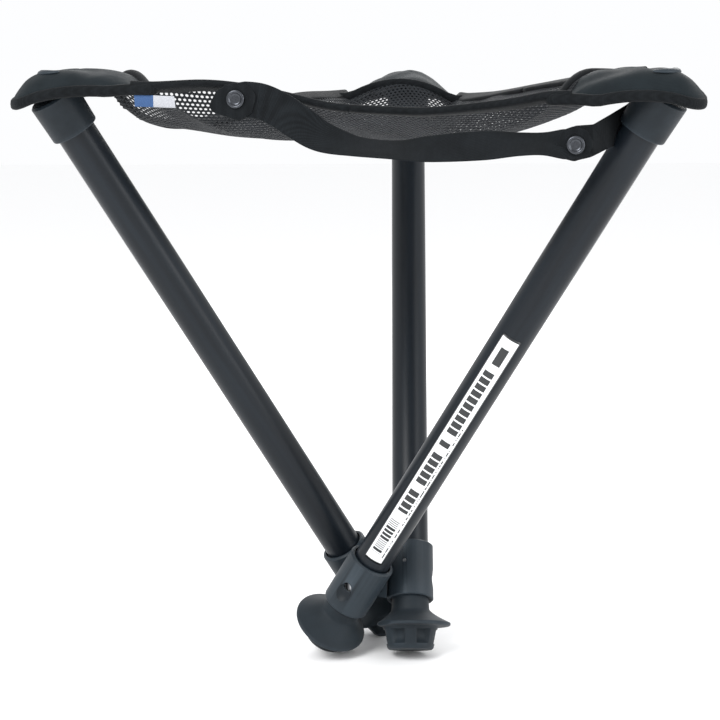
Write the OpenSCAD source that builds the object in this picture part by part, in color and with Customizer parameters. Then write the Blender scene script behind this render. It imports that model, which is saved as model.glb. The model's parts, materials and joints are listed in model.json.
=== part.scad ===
// Folding three leg stool with telescopic legs and a fabric seat.
// Millimetres. Origin on the floor under the middle of the bounding box, +Z up, -Y is the front.
// The legs cross at a small hub near the floor. Each leg stands in its own frame: Z up along the
// tube, X outwards from the hub, Y towards the hub's axis, with the origin on the hinge pin.

/* [Legs] */
// Angle between each leg and the vertical when the stool is open
leg_tilt = 33.1; // [30:0.1:36]
// Distance from the hub's axis to the axis of each leg
twist_r = 23.2; // [23:0.1:26]
// Outer diameter of the outer tube
tube_od = 24; // [22:0.5:24]
// Wall of the tubes
tube_wall = 1.2; // [1:0.1:1.5]
// Outer diameter of the inner, telescopic tube
inner_od = 20; // [18:0.5:20]
// Length of the leg above the hinge, up to the top of its cap
leg_up = 380.5; // [340:1:420]
// Length that each leg pulls out
leg_travel = 339; // [250:1:340]

/* [Collar and cap] */
// Outer diameter of the collar at the hinge
collar_od = 30.6; // [29:0.1:30.8]
// Length of the collar above the hinge
collar_up = 21.6; // [18:0.1:24]
// Length of the collar below the hinge
collar_down = 16.3; // [15:0.1:17]
// Diameter of the top cap at its upper rim
cap_od = 30.8; // [29:0.1:32]
// Length of the top cap
cap_len = 25; // [20:1:30]

/* [Feet] */
// Radius of the flange of the foot
flange_r = 24.2; // [20:0.1:26]
// Sideways offset of the flange, away from the hub
flange_off = 2.3; // [0:0.1:3]
// The same offset for the right foot
flange_off_right = 5.4; // [0:0.1:6]
// Distance from the hinge down to the sole
sole_down = 49; // [46:0.5:52]
// Lean of the right foot on its tube, in the leg's plane
lean_right = 3; // [-12:1:5]
// Lean of the right foot towards the hub's axis
turn_right = 10.7; // [0:0.1:12]
// Lean of the left foot on its tube
lean_left = 0; // [-12:1:5]
// Lean of the rear foot on its tube
lean_rear = -12; // [-12:1:5]

/* [Seat] */
// Distance from the hub's axis to the tips of the seat
tip_r = 234; // [230:1:240]
// Radius of the rounded tips
tip_round = 16; // [12:1:18]
// Distance from the hub's axis to the inner edge of the corner pads
pad_in = 158; // [150:1:165]
// Thickness of the corner pads
pad_t = 8; // [6:0.5:9]
// Height of the pads' ridge over the hinge
ridge_z = 334; // [332:0.5:338]
// Sag of the front hem at its middle
sag_front = 18; // [5:1:40]
// Sag of the left hem at its middle
sag_left = 32; // [5:1:40]
// Sag of the right hem at its middle
sag_right = 6; // [5:1:40]
// Height of the lowest point of the mesh over the hinge
belly_z = 284; // [275:1:290]

/* [Carry strap] */
// Width of the webbing
strap_w = 22; // [15:1:25]
// Thickness of the webbing
strap_t = 1.8; // [1.2:0.1:2.5]

/* [Hidden] */
$fn = 64;
eps = 0.01;

// Names and bearings of the legs, counted from +X
AZ_RIGHT = -30;
AZ_LEFT = 210;
AZ_REAR = 90;

tube_r = tube_od / 2;
bore_r = tube_r - tube_wall;
inner_r = inner_od / 2;
run = 0.05;                       // radial clearance of a running fit
gap = 0.3;                        // clearance between soft pieces on different bodies

// The tube's top leans outwards, so each corner of the seat sits a little behind its leg's bearing
top_out = leg_up * sin(leg_tilt);
corner_turn = -atan(twist_r / top_out);
side_d = (tip_r - tip_round) * sin(30) + tip_round;   // hub axis to each side of the seat

// Lowest point of an upright foot, which sets the height of the hinge over the floor
neck_z = -22;                     // the foot leans about this point
sole_r = 14;
function sole_low(lean, turn = 0) =
    let (upright = cos(turn) * cos(leg_tilt + lean))
    -neck_z * cos(leg_tilt) + (sole_down + neck_z) * upright + sole_r * sin(acos(upright));
hinge_h = max([sole_low(lean_right, turn_right), sole_low(lean_left), sole_low(lean_rear)]);

// Middle of the bounding box in plan, from the three tips of the seat
function tip(az) = (tip_r - tip_round) * [cos(az + corner_turn), sin(az + corner_turn)];
mid_x = (tip(AZ_RIGHT)[0] + tip(AZ_LEFT)[0]) / 2;
mid_y = (tip(AZ_REAR)[1] + tip(AZ_RIGHT)[1]) / 2;

// Collar
collar_r = collar_od / 2;
tube_low = -11;                   // lower end of the outer tube
guide_low = -13;                  // underside of the ring that guides the inner tube
socket_r = 12.8;                  // the foot's neck slips in here
lip_h = 3;
lip_gap = 1;
pin_r = 3;
pin_head_r = 5;
pin_head_h = 1;
hub_face = collar_r + 0.2;        // the hub's flat, seen from the leg's axis
pin_end = twist_r - 4;
button_z = 2;                     // the lock hole in the collar
lock_hole_r = 3.4;
dish_r = 9;                       // the dished window round the lock hole
dish_out = 6.4;
dish_low = 4.5;
rivet_turn = 166;
rivet_z = 6.5;
rivet_r = 1.1;
rivet_sunk = 0.5;

// Inner leg
inner_top = 366;
bush_h = 10;
button_r = 3.2;
button_up = button_z + leg_travel;
foot_bore_end = -30;
nest = twist_r * sin(60) - 0.6;   // half the room between two folded legs

hub_half = 11;

// Seat
hem_w = 14;
hem_t = 5;
mesh_t = 2.4;
bow = 4;                          // the sides of the seat curve inwards
hem_end_z = ridge_z - 3;
STEPS = 12;

// Carry strap, in the front side's own X and Z
strap_d = side_d + 1.3;
snap_left = [-65, 317];
snap_right = [131, 291];
tab_r = 12;
post_r = 2.2;

// ---- frames ----

// The hub's axis at the height of the hinge pins
module at_hub() translate([-mid_x, -mid_y, hinge_h]) children();

module at_leg(az) at_hub() rotate([0, 0, az]) translate([0, -twist_r, 0])
    rotate([0, leg_tilt, 0]) children();

// A corner of the seat: X runs outwards through its tip
module at_corner(az) at_hub() rotate([0, 0, az + corner_turn]) children();

// The side of the seat that follows a corner clockwise: X runs along it, -Y points outwards
module at_side(az) at_hub() rotate([0, 0, az + 30 + corner_turn]) children();

// A flat piece on the front side, drawn in XZ and thickened outwards from distance d
module front_plate(d, t) at_side(AZ_RIGHT) translate([0, -d, 0]) rotate([90, 0, 0])
    linear_extrude(t) children();

// ---- hub and hinge ----

// Triangular block between the three collars
module hub() {
    flat = twist_r - hub_face;
    color("#1d2126") at_hub() difference() {
        rotate([0, 0, 60]) cylinder(r = flat * 2, h = 2 * hub_half, center = true, $fn = 3);
        for (az = [AZ_RIGHT, AZ_LEFT, AZ_REAR]) rotate([0, 0, az]) translate([0, -flat - 1, 0])
            rotate([-90, 0, 0]) cylinder(r = pin_r, h = pin_end - hub_face + 1);
    }
}

// Headed pin from the hub into the collar's wall
module hinge_rivet(az) {
    head_y = tube_r + 0.1;
    color("silver") at_leg(az) {
        translate([0, head_y, 0]) rotate([-90, 0, 0]) cylinder(r = pin_head_r, h = pin_head_h);
        translate([0, head_y + pin_head_h - eps, 0]) rotate([-90, 0, 0])
            cylinder(r = pin_r, h = pin_end - head_y - pin_head_h + eps);
    }
}

// ---- leg, outer part ----

module outer_tube(az) {
    color("#20262d") at_leg(az) difference() {
        translate([0, 0, tube_low]) cylinder(r = tube_r, h = leg_up - 4 - tube_low);
        translate([0, 0, tube_low - 1]) cylinder(r = bore_r, h = leg_up - tube_low);
        translate([0, 0, button_z]) rotate([90, 0, 0]) cylinder(r = lock_hole_r, h = 20);
    }
}

module top_cap(az) {
    rim_r = cap_od / 2;
    low = leg_up - cap_len;
    color("#23282e") at_leg(az) rotate_extrude() polygon([
        [tube_r, low], [rim_r - 0.9, low], [rim_r - 0.6, low + 0.6], [rim_r, leg_up - 1.2],
        [rim_r - 1.2, leg_up], [0, leg_up], [0, leg_up - 4], [tube_r, leg_up - 4]
    ]);
}

// Moulded collar with a lip at the top, a dished window for the lock button and the hinge's bore
module collar(az) {
    color("#262b31") at_leg(az) difference() {
        rotate_extrude() polygon([
            [tube_r, tube_low], [inner_r + run, tube_low], [inner_r + run, guide_low],
            [socket_r, guide_low], [socket_r, -collar_down], [collar_r - 0.6, -collar_down],
            [collar_r, -collar_down + 0.6], [collar_r, collar_up - 1], [collar_r - 1, collar_up],
            [tube_r + lip_gap, collar_up], [tube_r + lip_gap, collar_up - lip_h],
            [tube_r, collar_up - lip_h]
        ]);
        rotate([-90, 0, 0]) cylinder(r = pin_r + run, h = 30);
        rotate([-90, 0, 0]) cylinder(r = pin_head_r + 0.3, h = tube_r + pin_head_h + 0.3);
        translate([0, 0, button_z]) rotate([90, 0, 0]) cylinder(r = lock_hole_r, h = 30);
        translate([0, -collar_r - dish_out, button_z - dish_low]) sphere(r = dish_r);
        rivet_body();
    }
}

// Small rivet that holds the collar on the outer tube
module rivet_body() rotate([0, 0, rivet_turn]) translate([collar_r - rivet_sunk, 0, rivet_z])
    rotate([0, 90, 0]) cylinder(r = rivet_r, h = 1);

module collar_rivet(az) {
    color("silver") at_leg(az) rivet_body();
}

// Plain wrap-around label on the lower half of the tube
module leg_label() {
    low = 27;
    top = 208;
    wrap = 62;
    color("white") at_leg(AZ_RIGHT) rotate([0, 0, -102]) translate([0, 0, low])
        rotate_extrude(angle = wrap) translate([tube_r, 0]) square([0.15, top - low]);
}

// Padded pocket: a level inner part and an outer part that lies on the slanting cap
module corner_pad(az) {
    slope = tan(26);
    fold_x = 200;
    centre_x = tip_r - tip_round;
    half_in = (side_d - pad_in * cos(60)) / sin(60);
    color("#191c20") difference() {
        at_corner(az) intersection() {
            translate([0, 0, 280]) linear_extrude(80) polygon(concat(
                [[pad_in, -half_in]],
                [for (a = [-60 : 10 : 60]) [centre_x + tip_round * cos(a), tip_round * sin(a)]],
                [[pad_in, half_in]]
            ));
            translate([0, 80, 0]) rotate([90, 0, 0]) linear_extrude(160) polygon([
                [pad_in - 1, hem_end_z + pad_t / 2], [fold_x - 6, ridge_z], [fold_x + 4, ridge_z - 1],
                [tip_r + 1, ridge_z - slope * (tip_r + 1 - fold_x)],
                [tip_r + 1, ridge_z - pad_t - slope * (tip_r + 1 - fold_x)],
                [fold_x, ridge_z - pad_t], [pad_in - 1, hem_end_z - pad_t / 2]
            ]);
        }
        at_leg(az) translate([0, 0, leg_up - cap_len]) cylinder(r = cap_od / 2, h = cap_len);
    }
}

// ---- leg, inner part ----

module inner_tube(az) {
    color("silver") at_leg(az) difference() {
        translate([0, 0, foot_bore_end]) cylinder(r = inner_r, h = inner_top - foot_bore_end);
        translate([0, 0, foot_bore_end - 1])
            cylinder(r = inner_r - tube_wall, h = inner_top - foot_bore_end + 2);
        translate([0, 0, button_up]) rotate([90, 0, 0]) cylinder(r = button_r + run, h = 20);
    }
}

// Sleeve that centres the inner tube's top in the outer tube
module guide_bush(az) {
    color("ivory") at_leg(az) translate([0, 0, inner_top - bush_h]) difference() {
        cylinder(r = bore_r - run, h = bush_h);
        translate([0, 0, -1]) cylinder(r = inner_r, h = bush_h + 2);
    }
}

// Rubber foot: neck, flaring flange and a tapered stud with pockets round it.
// Two flats let the feet nest when folded.
module foot(az, lean, turn = 0, off = flange_off) {
    neck_r = 12.4;
    rim_z = -9.4;                 // top of the rim, from the neck's point
    stud_top = -12.2;
    stud_top_r = 18;
    sole_z = -sole_down - neck_z;
    pockets = 6;
    color("#22272c") at_leg(az) difference() {
        union() {
            translate([0, 0, neck_z - 4]) cylinder(r = 12.3, h = guide_low - 0.2 - neck_z + 4);
            translate([0, 0, neck_z]) rotate([turn, lean, 0]) {
                translate([0, -off, 0]) rotate_extrude() polygon(concat(
                    [[0, 2], [neck_r, 2]],
                    [for (u = [0 : 0.1 : 1])
                        [neck_r + 0.2 + (flange_r - neck_r - 0.6) * pow(u, 1.4), rim_z * u - 0.6 * (1 - u)]],
                    [[flange_r, rim_z - 0.7], [flange_r - 0.2, rim_z - 1.6], [flange_r - 1.2, rim_z - 2.2],
                    [stud_top_r, stud_top], [0, stud_top]]
                ));
                difference() {
                    rotate_extrude() polygon([
                        [0, stud_top + 1], [stud_top_r, stud_top + 1], [stud_top_r, stud_top],
                        [sole_r + 1.6, sole_z + 2.2], [sole_r, sole_z], [0, sole_z]
                    ]);
                    for (i = [0 : pockets - 1]) rotate([0, 0, 30 + i * 360 / pockets])
                        translate([sole_r - 0.6, -4.2, sole_z + 3.6]) cube([8, 8.4, stud_top - sole_z - 4.6]);
                }
            }
        }
        translate([0, 0, foot_bore_end]) cylinder(r = inner_r, h = 30);
        for (side = [-1, 1]) rotate([0, 0, 90 - 30 * side]) translate([nest, -40, -80])
            cube([40, 80, 80]);
    }
}

// Bent leaf spring behind the lock button
module button_clip(az) {
    wall = inner_r - tube_wall;
    color("silver") at_leg(az) translate([-2, 0, button_up]) rotate([90, 0, 90]) linear_extrude(4)
        polygon([
            [-5.2, 3], [-5.2, -3], [wall - 2.6, -24], [wall - 1.4, -24], [wall - 0.6, -20],
            [wall - 0.6, 3], [wall - 1.3, 3], [wall - 1.3, -20], [wall - 2, -22], [-4.4, -3],
            [-4.4, 3]
        ]);
}

// Spring-loaded lock button, held in by the wall of the outer tube
module snap_button(az) {
    face = bore_r - 0.3;
    color("silver") at_leg(az) translate([0, -5.4, button_up]) rotate([90, 0, 0]) {
        cylinder(r = button_r, h = face - 5.4 - 1);
        translate([0, 0, face - 6.4 - eps]) cylinder(r1 = button_r, r2 = button_r - 1, h = 1);
    }
}

// ---- seat ----

// Half length of a hem at distance d from the hub's axis, up to the corner pads
function hem_half(d) = (pad_in - gap - 0.1 - d * cos(60)) / sin(60);

// Point of a hem: t runs -1 to 1 along it, d is its distance from the hub's axis when straight
function hem_point(t, d, dz, sag) =
    [t * hem_half(d), bow * (1 - t * t) - d, hem_end_z - sag * (1 - t * t) + dz];

// Tube with four sides through rings of four points
module strip(rings) {
    n = len(rings);
    polyhedron(
        points = [for (r = rings) each r],
        faces = concat(
            [[3, 2, 1, 0], [for (j = [0 : 3]) 4 * (n - 1) + j]],
            [for (i = [0 : n - 2], j = [0 : 3])
                [4 * i + j, 4 * i + (j + 1) % 4, 4 * i + 4 + (j + 1) % 4, 4 * i + 4 + j]]
        )
    );
}

// Folded hem between two corner pads
module hem(az, sag) {
    inner = side_d - hem_w;
    color("#15181b") at_side(az) strip([
        for (i = [-STEPS : STEPS]) let (t = i / STEPS) [
            hem_point(t, side_d, hem_t / 2, sag), hem_point(t, inner, hem_t / 2, sag),
            hem_point(t, inner, -hem_t / 2, sag), hem_point(t, side_d, -hem_t / 2, sag)
        ]
    ]);
}

// Edge of the mesh in direction a, where 0 is the middle of a side and 60 a corner
function mesh_edge(a, sag) =
    let (d = side_d - hem_w - 0.2, t = d * tan(a) / hem_half(d))
    abs(t) < 1
        ? [(d - bow * (1 - t * t)) / cos(a), hem_end_z - sag * (1 - t * t)]
        : [(pad_in - gap - 0.1) / cos(60 - abs(a)), hem_end_z];

// Sagging three-cornered mesh panel, as a thin shell
module seat_mesh() {
    rings = 8;
    spokes = 72;
    sags = [sag_right, sag_left, sag_front, sag_right];
    function pt(k, j, dz) =
        let (dir = 360 * j / spokes, side = round(dir / 120), e = mesh_edge(dir - 120 * side, sags[side]))
        let (f = k / rings)
        [e[0] * f * cos(dir), e[0] * f * sin(dir), belly_z + (e[1] - belly_z) * pow(f, 1.8) + dz];
    function id(layer, k, j) = layer * rings * spokes + (k - 1) * spokes + j % spokes;
    top = [for (k = [1 : rings], j = [0 : spokes - 1]) pt(k, j, mesh_t / 2)];
    low = [for (k = [1 : rings], j = [0 : spokes - 1]) pt(k, j, -mesh_t / 2)];
    last = 2 * rings * spokes;
    color("#2b3036") at_corner(AZ_RIGHT) rotate([0, 0, 60]) polyhedron(
        points = concat(top, low, [[0, 0, belly_z + mesh_t / 2], [0, 0, belly_z - mesh_t / 2]]),
        faces = concat(
            [for (j = [0 : spokes - 1]) [last, id(0, 1, j + 1), id(0, 1, j)]],
            [for (j = [0 : spokes - 1]) [last + 1, id(1, 1, j), id(1, 1, j + 1)]],
            [for (k = [1 : rings - 1], j = [0 : spokes - 1])
                [id(0, k, j), id(0, k, j + 1), id(0, k + 1, j + 1), id(0, k + 1, j)]],
            [for (k = [1 : rings - 1], j = [0 : spokes - 1])
                [id(1, k, j), id(1, k + 1, j), id(1, k + 1, j + 1), id(1, k, j + 1)]],
            [for (j = [0 : spokes - 1])
                [id(0, rings, j), id(0, rings, j + 1), id(1, rings, j + 1), id(1, rings, j)]]
        )
    );
}

// Small sewn tag under the left end of the front hem
module seat_tag() {
    color("steelblue") front_plate(side_d - 2, 0.6) translate([-128, 312]) square([26, 7.5]);
}

// ---- carry strap and its snaps ----

// Rounded tab with a hole for the snap's post, drawn round the post
module tab_outline(points) {
    difference() {
        union() {
            circle(r = tab_r);
            polygon(points);
        }
        circle(r = post_r);
    }
}

module strap_tab_left() {
    color("#101214") front_plate(strap_d - gap - 2.6, 2.6) translate([snap_left[0], snap_left[1]])
        tab_outline([[-tab_r, 0], [tab_r, 0], [tab_r + 1, 8], [-tab_r - 1, 8]]);
}

module strap_tab_right() {
    color("#101214") front_plate(strap_d - gap - 1.5, 1.5) translate([snap_right[0], snap_right[1]])
        tab_outline([[-2, -tab_r], [12, -tab_r + 2], [22, 6], [22, 30], [8, 30], [3, 17], [-3, tab_r]]);
}

// Post of a snap, with its washer behind the tab
module snap_stud(at, tab_t) {
    back = strap_d - gap - tab_t;
    color("#8d9095") {
        front_plate(back - 0.8, 0.8) translate(at) circle(r = 4.5);
        front_plate(back - eps, tab_t + gap + strap_t + 1.2 + eps) translate(at) circle(r = post_r);
    }
}

// Webbing that hangs high on the left and drops to the right
function strap_z(x) =
    let (f = min(1, max(0, (x + 62) / 70)))
    snap_left[1] + (snap_right[1] - snap_left[1]) * f * f * (3 - 2 * f);

module carry_strap() {
    x0 = snap_left[0] - 9;
    x1 = snap_right[0] + 7;
    parts = 32;
    edge = [for (i = [0 : parts]) let (x = x0 + (x1 - x0) * i / parts) [x, strap_z(x)]];
    color("#17191c") front_plate(strap_d, strap_t) difference() {
        polygon(concat(
            [for (i = [0 : parts]) edge[i] + [0, strap_w / 2]],
            [for (i = [parts : -1 : 0]) edge[i] - [0, strap_w / 2]]
        ));
        translate(snap_left) circle(r = post_r + 0.1);
        translate(snap_right) circle(r = post_r + 0.1);
    }
}

// Domed cap of a snap, with the socket for the post
module snap_cap(at) {
    color("#7d8186") at_side(AZ_RIGHT) translate([at[0], -strap_d - strap_t, at[1]])
        rotate([90, 0, 0]) rotate_extrude() polygon([
            [post_r + 0.1, 0], [6.3, 0], [6.3, 0.8], [5.6, 1.6], [3.4, 2.2], [0, 2.4], [0, 1.5],
            [post_r + 0.1, 1.5]
        ]);
}

hub();
hinge_rivet(AZ_RIGHT);  // hinge_rivet_right
hinge_rivet(AZ_LEFT);  // hinge_rivet_left
hinge_rivet(AZ_REAR);  // hinge_rivet_rear
seat_mesh();
hem(AZ_RIGHT, sag_front);  // hem_front
hem(AZ_LEFT, sag_left);  // hem_left
hem(AZ_REAR, sag_right);  // hem_right
seat_tag();
strap_tab_left();
strap_tab_right();
snap_stud(snap_left, 2.6);  // snap_stud_left
snap_stud(snap_right, 1.5);  // snap_stud_right
outer_tube(AZ_RIGHT);  // outer_tube_right
top_cap(AZ_RIGHT);  // top_cap_right
collar(AZ_RIGHT);  // collar_right
collar_rivet(AZ_RIGHT);  // collar_rivet_right
corner_pad(AZ_RIGHT);  // corner_pad_right
leg_label();
outer_tube(AZ_LEFT);  // outer_tube_left
top_cap(AZ_LEFT);  // top_cap_left
collar(AZ_LEFT);  // collar_left
collar_rivet(AZ_LEFT);  // collar_rivet_left
corner_pad(AZ_LEFT);  // corner_pad_left
outer_tube(AZ_REAR);  // outer_tube_rear
top_cap(AZ_REAR);  // top_cap_rear
collar(AZ_REAR);  // collar_rear
collar_rivet(AZ_REAR);  // collar_rivet_rear
corner_pad(AZ_REAR);  // corner_pad_rear
inner_tube(AZ_RIGHT);  // inner_tube_right
guide_bush(AZ_RIGHT);  // guide_bush_right
foot(AZ_RIGHT, lean_right, turn_right, flange_off_right);  // foot_right
button_clip(AZ_RIGHT);  // button_clip_right
inner_tube(AZ_LEFT);  // inner_tube_left
guide_bush(AZ_LEFT);  // guide_bush_left
foot(AZ_LEFT, lean_left);  // foot_left
button_clip(AZ_LEFT);  // button_clip_left
inner_tube(AZ_REAR);  // inner_tube_rear
guide_bush(AZ_REAR);  // guide_bush_rear
foot(AZ_REAR, lean_rear);  // foot_rear
button_clip(AZ_REAR);  // button_clip_rear
snap_button(AZ_RIGHT);  // snap_button_right
snap_button(AZ_LEFT);  // snap_button_left
snap_button(AZ_REAR);  // snap_button_rear
carry_strap();
snap_cap(snap_left);  // snap_cap_left
snap_cap(snap_right);  // snap_cap_right
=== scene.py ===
"""Looks of the folding three leg stool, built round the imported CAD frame. Metres throughout."""

import json
import math

import bpy
import bmesh
from mathutils import Euler, Matrix, Vector


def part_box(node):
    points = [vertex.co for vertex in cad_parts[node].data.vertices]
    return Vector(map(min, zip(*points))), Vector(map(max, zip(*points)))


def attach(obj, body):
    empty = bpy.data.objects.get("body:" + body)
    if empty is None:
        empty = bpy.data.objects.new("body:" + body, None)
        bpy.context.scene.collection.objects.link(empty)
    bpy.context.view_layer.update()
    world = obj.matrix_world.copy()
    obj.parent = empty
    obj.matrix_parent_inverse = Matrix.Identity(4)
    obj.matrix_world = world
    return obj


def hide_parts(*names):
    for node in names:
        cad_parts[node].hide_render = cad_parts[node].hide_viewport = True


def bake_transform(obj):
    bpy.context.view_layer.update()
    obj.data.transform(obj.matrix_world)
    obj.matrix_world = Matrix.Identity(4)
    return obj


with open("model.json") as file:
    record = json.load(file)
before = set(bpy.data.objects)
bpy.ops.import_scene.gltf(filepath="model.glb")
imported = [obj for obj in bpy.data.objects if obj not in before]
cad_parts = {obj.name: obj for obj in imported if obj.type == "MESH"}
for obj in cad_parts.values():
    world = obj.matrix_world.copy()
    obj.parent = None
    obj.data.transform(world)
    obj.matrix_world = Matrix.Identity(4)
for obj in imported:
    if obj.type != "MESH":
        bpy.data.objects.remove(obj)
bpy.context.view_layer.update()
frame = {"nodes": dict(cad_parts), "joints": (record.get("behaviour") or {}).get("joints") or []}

# ---- places, from the frame ----

JOINTS = {j["name"]: j for j in frame["joints"]}
LEGS = ("right", "left", "rear")
FOLDS = {leg: JOINTS["fold_" + leg] for leg in LEGS}
HUB = sum((Vector(FOLDS[leg]["pos_m"]) for leg in LEGS), Vector()) / len(LEGS)
UP_LEG = {leg: -Vector(JOINTS["extend_" + leg]["axis"]) for leg in LEGS}
PIN = {leg: Vector(FOLDS[leg]["pos_m"]) for leg in LEGS}
INWARD = {leg: -Vector(FOLDS[leg]["axis"]) for leg in LEGS}

# Sizes of the seat, as in the CAD model
LEG_UP = 0.3805          # hinge to the top of the cap, along the leg
TUBE_R = 0.012
TIP_R = 0.234            # hub's axis to a tip of the seat
TIP_ROUND = 0.016
PAD_IN = 0.158           # hub's axis to the inner edge of a pad
HEM_Z = 0.331            # height of the seat's tight edge over the hinge
HEM_W = 0.014
BELLY_Z = 0.289          # height of the mesh's lowest place over the hinge
BOW = 0.004              # how far the middle of a side is drawn in
STRAP_D = 0.1273         # hub's axis to the back of the strap
STRAP_W = 0.022
STRAP_T = 0.0018
SNAPS = {"left": (-0.065, 0.317), "right": (0.131, 0.291)}

cap_top = PIN["right"] + UP_LEG["right"] * LEG_UP - HUB
TURN = math.atan2(cap_top.y, cap_top.x) + math.radians(30)    # the seat's small turn against the row frame
BEARING = {leg: math.radians(angle) + TURN for leg, angle in (("right", -30), ("left", 210), ("rear", 90))}
SIDE_TURN = {"front": TURN, "left": TURN - math.radians(120), "right": TURN + math.radians(120)}
SIDE_ENDS = {"front": ("left", "right"), "left": ("rear", "left"), "right": ("right", "rear")}
SIDE_D = (TIP_R - TIP_ROUND) * 0.5 + TIP_ROUND


# ---- camera, light and floor ----

EYE = HUB + Vector((0.0121, -1.2565, 0.3398))
LENS = 97.4
LOOK_DOWN, LOOK_LEFT, ROLL = math.radians(8.79), math.radians(0.99), math.radians(-0.21)
AIM = (0, 0, 0.2)
# Place, width and height, and watts of each lamp
LAMPS = {
    "key": ((-0.9, -1.3, 1.5), (0.9, 0.9), 26),
    "fill": ((1.6, -0.9, 0.8), (0.6, 1.4), 12),
    "back": ((0.2, 1.6, 1.2), (1.6, 0.8), 16),
}
SKY = (0.985, 0.99, 1.0)
FLOOR_HALF = 6.0
FLOOR_WHITE = 0.97


def make_camera():
    data = bpy.data.cameras.new("camera")
    data.sensor_width = 36
    data.lens = LENS
    cam = bpy.data.objects.new("camera", data)
    bpy.context.scene.collection.objects.link(cam)
    turn = Euler((math.radians(90) - LOOK_DOWN, 0, LOOK_LEFT), "XYZ").to_matrix()
    roll = Matrix.Rotation(ROLL, 3, "Z")
    cam.matrix_world = Matrix.Translation(EYE) @ (turn @ roll).to_4x4()
    bpy.context.scene.camera = cam


def area_light(name, place, size, power):
    data = bpy.data.lights.new(name, "AREA")
    data.shape = "RECTANGLE"
    data.size, data.size_y = size
    data.energy = power
    lamp = bpy.data.objects.new(name, data)
    bpy.context.scene.collection.objects.link(lamp)
    lamp.location = place
    lamp.rotation_euler = (Vector(AIM) - Vector(place)).to_track_quat("-Z", "Y").to_euler()


def make_studio():
    world = bpy.data.worlds.new("studio")
    world.use_nodes = True
    world.node_tree.nodes["Background"].inputs["Color"].default_value = (*SKY, 1)
    world.node_tree.nodes["Background"].inputs["Strength"].default_value = 1.0
    bpy.context.scene.world = world
    for name, (place, size, power) in LAMPS.items():
        area_light(name, place, size, power)
    mesh = bpy.data.meshes.new("floor")
    signs = ((-1, -1), (1, -1), (1, 1), (-1, 1))
    mesh.from_pydata([(x * FLOOR_HALF, y * FLOOR_HALF, 0) for x, y in signs], [], [(0, 1, 2, 3)])
    floor = bpy.data.objects.new("floor", mesh)
    bpy.context.scene.collection.objects.link(floor)
    paint = bpy.data.materials.new("floor_paint")
    paint.use_nodes = True
    shader = paint.node_tree.nodes["Principled BSDF"]
    shader.inputs["Base Color"].default_value = (FLOOR_WHITE, FLOOR_WHITE, FLOOR_WHITE, 1)
    shader.inputs["Roughness"].default_value = 0.9
    shader.inputs["Specular IOR Level"].default_value = 0.1
    mesh.materials.append(paint)


# ---- materials ----

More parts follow.
